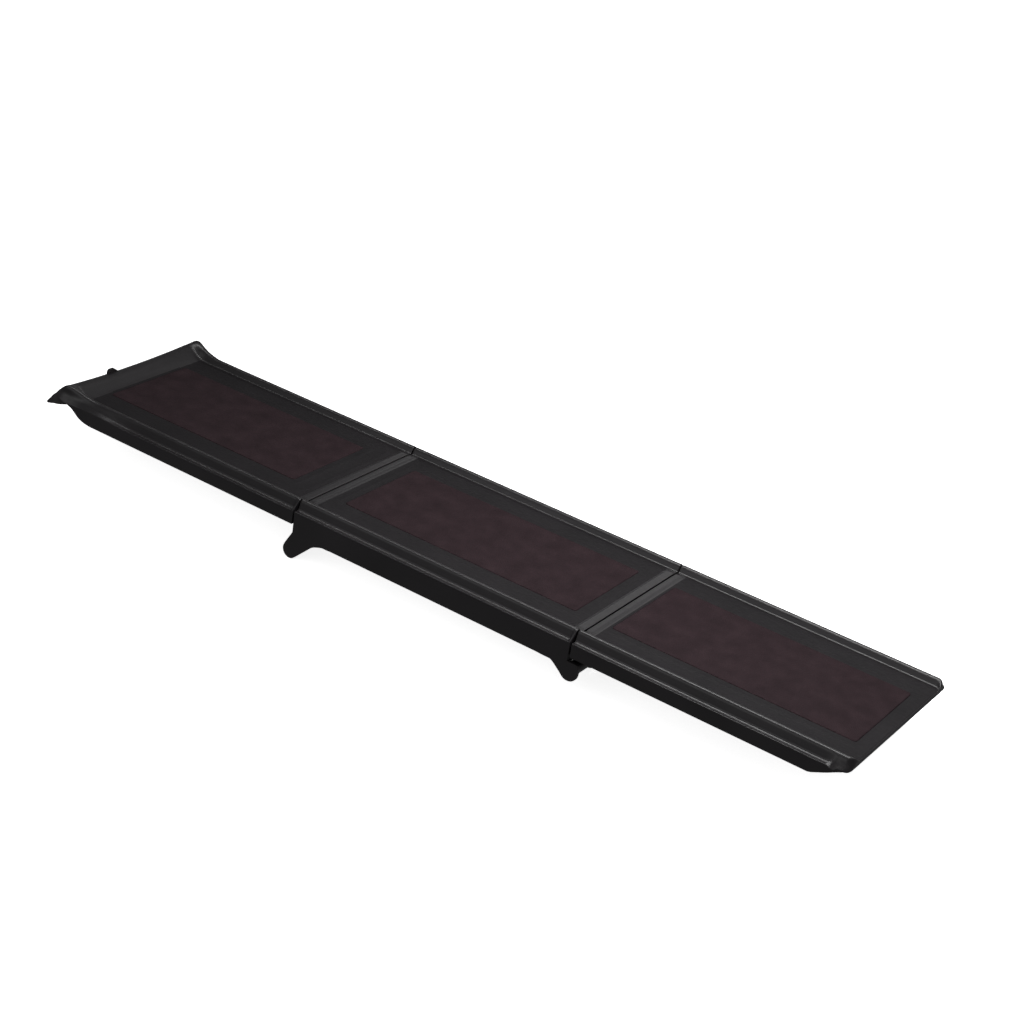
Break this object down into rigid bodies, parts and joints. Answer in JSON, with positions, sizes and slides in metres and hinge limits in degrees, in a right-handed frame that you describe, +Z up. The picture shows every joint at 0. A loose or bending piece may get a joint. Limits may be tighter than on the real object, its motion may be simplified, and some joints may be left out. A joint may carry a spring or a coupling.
{
  "type": "dog ramp",
  "caption": "Long folding ramp for dogs: three moulded panels with side rails and tread mats, hinged end to end, with a hook lip and a bevelled nose.",
  "frame": {"origin": "on the ground below the middle of the open, straight ramp", "axes": "+X along the ramp towards its ground end, +Y to the right of a dog walking up the ramp, +Z up"},
  "size_m": [1.806, 0.408, 0.1328],
  "materials": {
    "panel_plastic": "satin, lightly grained",
    "tread_mat": "textured, matt",
    "pin_steel": "zinc plated",
    "nylon": "smooth",
    "grip_rubber": "matt"
  },
  "bodies": {
    "middle": {"middle_panel": "panel_plastic", "middle_tread_mat": "tread_mat", "middle_mat_studs": "nylon", "upper_hinge_pin_left": "pin_steel", "upper_hinge_pin_right": "pin_steel", "lower_hinge_pin_left": "pin_steel", "lower_hinge_pin_right": "pin_steel", "upper_pin_cap_left": "nylon", "upper_pin_cap_right": "nylon", "lower_pin_cap_left": "nylon", "lower_pin_cap_right": "nylon"},
    "upper": {"upper_panel": "panel_plastic", "upper_tread_mat": "tread_mat", "upper_mat_studs": "nylon", "hook_grip": "grip_rubber", "tether_anchor": "panel_plastic", "tether_anchor_screws": "pin_steel", "upper_hinge_bush_left": "nylon", "upper_hinge_bush_right": "nylon"},
    "lower": {"lower_panel": "panel_plastic", "lower_tread_mat": "tread_mat", "lower_mat_studs": "nylon", "lower_hinge_bush_left": "nylon", "lower_hinge_bush_right": "nylon", "ground_foot_left": "grip_rubber", "ground_foot_right": "grip_rubber"}
  },
  "joints": [
    {"name": "upper_fold", "type": "hinge", "parent": "middle", "child": "upper", "pos_m": [-0.257, 0, 0.017], "axis": [0, -1, 0], "range_deg": [0, 180]},
    {"name": "lower_fold", "type": "hinge", "parent": "middle", "child": "lower", "pos_m": [0.371, 0, 0.044], "axis": [0, 1, 0], "range_deg": [0, 180]}
  ]
}
